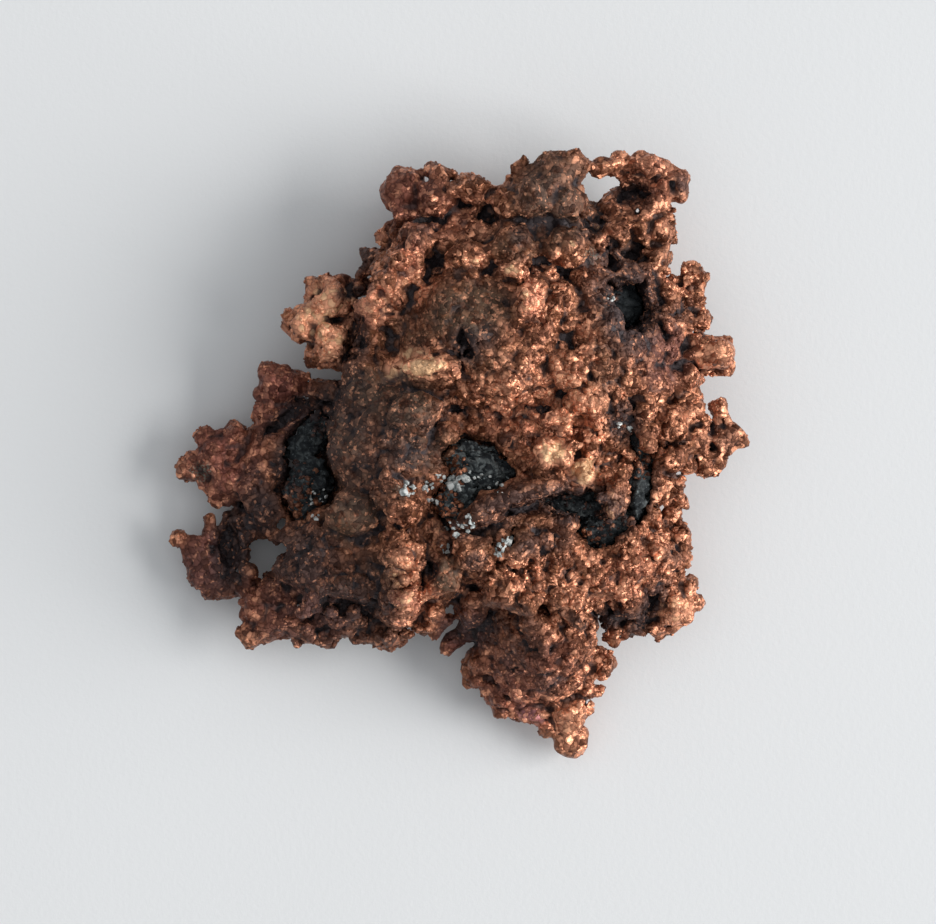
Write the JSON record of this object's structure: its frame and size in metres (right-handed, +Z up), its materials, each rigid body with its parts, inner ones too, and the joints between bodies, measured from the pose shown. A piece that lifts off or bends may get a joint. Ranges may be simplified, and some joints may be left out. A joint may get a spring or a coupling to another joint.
{
  "type": "native copper nugget",
  "caption": "Crystallised native copper nugget with knobs, pits and ragged lobes, and remnants of dark host rock in its hollows, lying flat on worn feet.",
  "frame": {"origin": "centre of the nugget's footprint box, at the height of the surface that it lies on", "axes": "+Z up from that surface, +Y along the nugget's longest side towards its crown, +X towards its right edge as seen from above"},
  "size_m": [0.048, 0.0502, 0.0148],
  "materials": {
    "copper": "satin",
    "rock": "matte"
  },
  "bodies": {
    "root": {"copper": "copper", "rock_centre": "rock", "rock_right": "rock", "rock_left": "rock", "rock_upper": "rock"}
  },
  "joints": []
}
